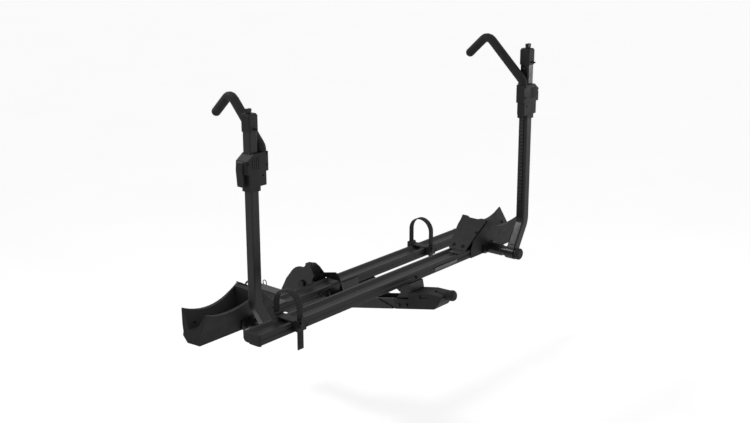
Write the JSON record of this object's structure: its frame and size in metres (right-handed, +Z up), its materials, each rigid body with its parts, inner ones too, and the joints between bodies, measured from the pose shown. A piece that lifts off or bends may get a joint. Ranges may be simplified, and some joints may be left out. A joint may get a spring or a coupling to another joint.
{
  "type": "hitch mounted bike rack",
  "caption": "Hitch mounted tilting bike rack with wheel trays, moulded wheel cradles, sliding hook arms and ratchet straps.",
  "frame": {"origin": "centre of the tongue's end face, the face that enters the vehicle's hitch receiver first", "axes": "+X runs along the wheel trays, +Y points out of the tongue's end towards the vehicle, +Z is up; the rack is folded down level"},
  "size_m": [1.4818, 0.9042, 0.9776],
  "materials": {
    "frame_paint": "satin black powder coat with a fine texture",
    "tray_paint": "satin black coating over extruded metal",
    "moulding": "grained black moulded plastic",
    "rubber": "matt black rubber",
    "dark_steel": "blackened steel"
  },
  "bodies": {
    "tongue": {"tongue_tube": "frame_paint", "tongue_end_plug": "moulding", "pivot_base": "frame_paint"},
    "hitch_pin": {"hitch_pin": "dark_steel"},
    "rack": {"spine_left_plate": "frame_paint", "spine_right_plate": "frame_paint", "spine_beam": "frame_paint", "handle_housing": "moulding", "pivot_bolt": "dark_steel", "pivot_nut": "dark_steel", "housing_bolt_1": "dark_steel", "housing_bolt_2": "dark_steel", "tilt_pawl_pin": "dark_steel", "inner_tray_bracket": "frame_paint", "outer_tray_pedestal": "frame_paint", "inner_tray": "tray_paint", "inner_tray_cap": "moulding", "inner_cradle": "moulding", "inner_ramp": "frame_paint", "inner_arm_barrel": "frame_paint", "inner_barrel_cap": "rubber", "outer_tray": "tray_paint", "outer_tray_cap": "moulding", "outer_cradle": "moulding", "outer_ramp": "frame_paint", "outer_arm_barrel": "frame_paint", "outer_barrel_cap": "rubber"},
    "tilt_pawl": {"tilt_pawl": "dark_steel"},
    "release_handle": {"release_rod": "dark_steel", "release_grip": "rubber"},
    "inner_arm": {"inner_arm": "frame_paint", "inner_ratchet_strip": "dark_steel", "inner_arm_cap": "moulding"},
    "inner_cap_knob": {"inner_cap_knob": "dark_steel"},
    "inner_slider": {"inner_slider": "moulding", "inner_trigger_pin": "dark_steel", "inner_hook_rod": "dark_steel", "inner_hook_sleeve": "rubber"},
    "inner_slider_pawl": {"inner_slider_pawl": "dark_steel"},
    "inner_trigger": {"inner_trigger": "moulding"},
    "inner_strap": {"inner_strap_carriage": "moulding", "inner_strap": "rubber"},
    "inner_buckle_lever": {"inner_buckle_lever": "moulding"},
    "outer_arm": {"outer_arm": "frame_paint", "outer_ratchet_strip": "dark_steel", "outer_arm_cap": "moulding"},
    "outer_cap_knob": {"outer_cap_knob": "dark_steel"},
    "outer_slider": {"outer_slider": "moulding", "outer_trigger_pin": "dark_steel", "outer_hook_rod": "dark_steel", "outer_hook_sleeve": "rubber"},
    "outer_slider_pawl": {"outer_slider_pawl": "dark_steel"},
    "outer_trigger": {"outer_trigger": "moulding"},
    "outer_strap": {"outer_strap_carriage": "moulding", "outer_strap": "rubber"},
    "outer_buckle_lever": {"outer_buckle_lever": "moulding"}
  },
  "joints": [
    {"name": "rack_tilt", "type": "hinge", "parent": "tongue", "child": "rack", "pos_m": [0, -0.282, 0.0975], "axis": [-1, 0, 0], "range_deg": [-34, 89], "stiffness_Nm_per_rad": 90, "springref_deg": 50.16},
    {"name": "inner_arm_fold", "type": "hinge", "parent": "rack", "child": "inner_arm", "pos_m": [-0.402, -0.496, 0.1], "axis": [0, 1, 0], "range_deg": [-57, 80]},
    {"name": "outer_arm_fold", "type": "hinge", "parent": "rack", "child": "outer_arm", "pos_m": [0.402, -0.846, 0.2215], "axis": [0, -1, 0], "range_deg": [-57, 80]},
    {"name": "hitch_pin_slide", "type": "slide", "parent": "tongue", "child": "hitch_pin", "axis": [-1, 0, 0], "range_m": [0, 0.12]},
    {"name": "release_pull", "type": "slide", "parent": "rack", "child": "release_handle", "axis": [0, -0.9751, 0.2215], "range_m": [0, 0.015], "stiffness_N_per_m": 800, "springref_m": -0.02},
    {"name": "tilt_pawl_lift", "type": "hinge", "parent": "rack", "child": "tilt_pawl", "pos_m": [0, -0.37632, 0.0615], "axis": [-1, 0, 0], "range_deg": [0, 12.1]},
    {"name": "inner_hook_slide", "type": "slide", "parent": "inner_arm", "child": "inner_slider", "axis": [0, 0, 1], "range_m": [-0.3, 0.055], "stiffness_N_per_m": 30, "springref_m": 0.2769},
    {"name": "outer_hook_slide", "type": "slide", "parent": "outer_arm", "child": "outer_slider", "axis": [-0.0122, 0, 0.9999], "range_m": [-0.3, 0.055], "stiffness_N_per_m": 30, "springref_m": 0.2769},
    {"name": "inner_trigger_squeeze", "type": "hinge", "parent": "inner_slider", "child": "inner_trigger", "pos_m": [-0.496, -0.496, 0.643], "axis": [0, -1, 0], "range_deg": [0, 4.58], "stiffness_Nm_per_rad": 1.5, "springref_deg": -5.73},
    {"name": "outer_trigger_squeeze", "type": "hinge", "parent": "outer_slider", "child": "outer_trigger", "pos_m": [0.48936, -0.846, 0.76561], "axis": [0, 1, 0], "range_deg": [0, 4.58], "stiffness_Nm_per_rad": 1.5, "springref_deg": -5.73},
    {"name": "inner_slider_pawl_lift", "type": "hinge", "parent": "inner_slider", "child": "inner_slider_pawl", "pos_m": [-0.434, -0.496, 0.599], "axis": [0, -1, 0], "range_deg": [0, 5.8]},
    {"name": "outer_slider_pawl_lift", "type": "hinge", "parent": "outer_slider", "child": "outer_slider_pawl", "pos_m": [0.4279, -0.846, 0.72086], "axis": [0, 1, 0], "range_deg": [0, 5.8]},
    {"name": "inner_cap_knob_turn", "type": "hinge", "parent": "inner_arm", "child": "inner_cap_knob", "pos_m": [-0.466, -0.496, 0.784], "axis": [0, 0, 1], "range_deg": [0, 90]},
    {"name": "outer_cap_knob_turn", "type": "hinge", "parent": "outer_arm", "child": "outer_cap_knob", "pos_m": [0.45764, -0.846, 0.9062], "axis": [-0.0122, 0, 0.9999], "range_deg": [0, 90]},
    {"name": "inner_strap_slide", "type": "slide", "parent": "rack", "child": "inner_strap", "axis": [1, 0, 0], "range_m": [-0.15, 0.08]},
    {"name": "outer_strap_slide", "type": "slide", "parent": "rack", "child": "outer_strap", "axis": [-1, 0, 0], "range_m": [-0.08, 0.08]},
    {"name": "inner_buckle_lever_lift", "type": "hinge", "parent": "inner_strap", "child": "inner_buckle_lever", "pos_m": [0.527, -0.424, 0.11], "axis": [1, 0, 0], "range_deg": [0, 69]},
    {"name": "outer_buckle_lever_lift", "type": "hinge", "parent": "outer_strap", "child": "outer_buckle_lever", "pos_m": [-0.544, -0.774, 0.2315], "axis": [1, 0, 0], "range_deg": [0, 69]}
  ],
  "couplings": [
    {"joint": "tilt_pawl_lift", "follows": "release_pull", "rad_per_m": 14},
    {"joint": "inner_slider_pawl_lift", "follows": "inner_trigger_squeeze", "ratio": 1.25},
    {"joint": "outer_slider_pawl_lift", "follows": "outer_trigger_squeeze", "ratio": 1.25}
  ]
}
